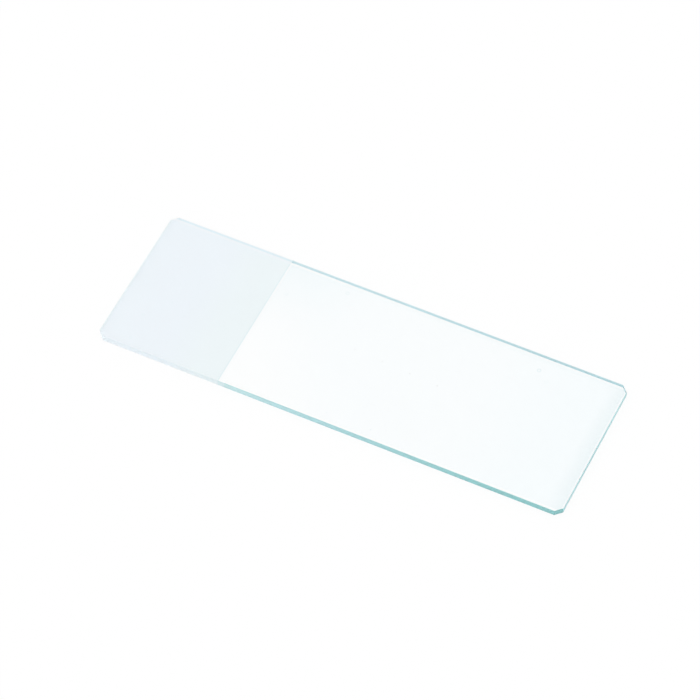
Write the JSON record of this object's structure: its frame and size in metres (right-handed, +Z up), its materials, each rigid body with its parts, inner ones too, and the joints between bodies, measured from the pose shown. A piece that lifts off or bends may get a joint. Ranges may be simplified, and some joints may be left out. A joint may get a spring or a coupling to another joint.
{
  "type": "microscope slide",
  "caption": "Flat rectangular glass plate with ground edges, clipped corners and a frosted writing panel across one end, to carry a specimen under a microscope.",
  "frame": {"origin": "centre of the underside, on the surface that the slide lies on", "axes": "+X along the slide towards its clear end, +Y across the slide, +Z up through the frosted face"},
  "size_m": [0.075, 0.025, 0.001],
  "materials": {
    "slide_glass": "polished clear faces, ground edges, fine etched frosting on one end of the top face"
  },
  "bodies": {
    "root": {"glass_slide": "slide_glass"}
  },
  "joints": []
}
